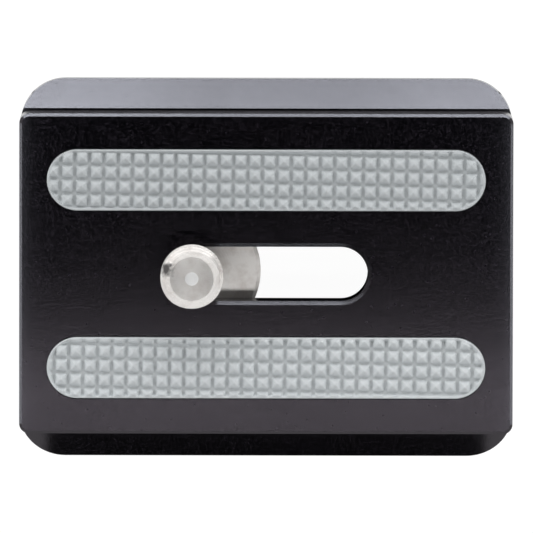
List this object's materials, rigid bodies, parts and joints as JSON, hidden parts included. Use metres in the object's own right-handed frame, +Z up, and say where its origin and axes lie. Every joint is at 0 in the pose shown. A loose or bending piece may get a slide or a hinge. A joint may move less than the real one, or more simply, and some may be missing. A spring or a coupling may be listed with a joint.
{
  "type": "tripod quick release plate",
  "caption": "Black dovetail camera plate with rounded base corners, pyramid rubber grip strips set in pockets, and a captive camera screw that slides along a slot and turns.",
  "frame": {"origin": "middle of the base face that the plate rests on", "axes": "+X along the plate and its slot, away from the end where the screw rests; +Y across the dovetail; +Z up towards the camera"},
  "size_m": [0.05, 0.0384, 0.0161],
  "materials": {
    "anodised_plate": "black anodised, fine blasted satin",
    "grip_rubber": "light grey, matt, moulded pyramids",
    "turned_steel": "stainless, fine turning marks"
  },
  "bodies": {
    "plate": {"plate_body": "anodised_plate", "rear_grip_pad": "grip_rubber", "front_grip_pad": "grip_rubber"},
    "washer": {"screw_washer": "turned_steel"},
    "screw": {"camera_screw": "turned_steel"}
  },
  "joints": [
    {"name": "screw_slide", "type": "slide", "parent": "plate", "child": "washer", "axis": [1, 0, 0], "range_m": [0, 0.015]},
    {"name": "screw_turn", "type": "hinge", "parent": "washer", "child": "screw", "pos_m": [-0.0075, 0, 0.01], "axis": [0, 0, 1], "continuous": true}
  ]
}
